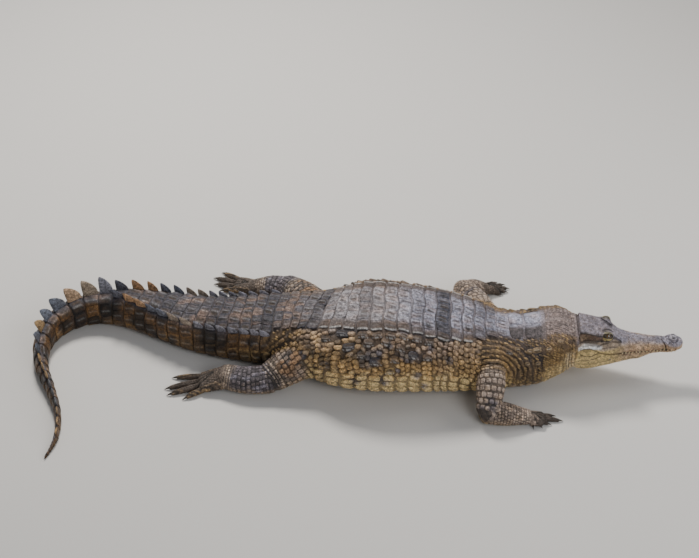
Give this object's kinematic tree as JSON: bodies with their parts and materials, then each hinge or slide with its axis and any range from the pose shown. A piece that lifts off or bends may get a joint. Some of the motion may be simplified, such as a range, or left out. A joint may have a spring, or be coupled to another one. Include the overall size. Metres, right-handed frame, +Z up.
{
  "type": "crocodile model",
  "caption": "Life-size still model of a slender-snouted crocodile resting on its belly, legs sprawled and tail curled to its right.",
  "frame": {"origin": "centre of the model's outline on the floor, at floor level", "axes": "+X from the tail towards the head, +Y to the animal's left, +Z up"},
  "size_m": [1.414, 0.6436, 0.186],
  "materials": {
    "hide": "scaled hide, grey-brown above with dark blotches, cream-ochre below",
    "eye": "glossy, golden with a dark slit pupil"
  },
  "bodies": {
    "root": {"belly": "hide", "chest": "hide", "eye_left": "eye", "eye_right": "eye", "hips": "hide", "left_fore_forearm": "hide", "left_fore_hand": "hide", "left_fore_upper_arm": "hide", "left_hind_foot": "hide", "left_hind_shank": "hide", "left_hind_thigh": "hide", "lower_jaw": "hide", "neck": "hide", "right_fore_forearm": "hide", "right_fore_hand": "hide", "right_fore_upper_arm": "hide", "right_hind_foot": "hide", "right_hind_shank": "hide", "right_hind_thigh": "hide", "skull": "hide", "tail_base": "hide", "tail_fifth": "hide", "tail_fourth": "hide", "tail_second": "hide", "tail_third": "hide", "tail_tip": "hide"}
  },
  "joints": []
}
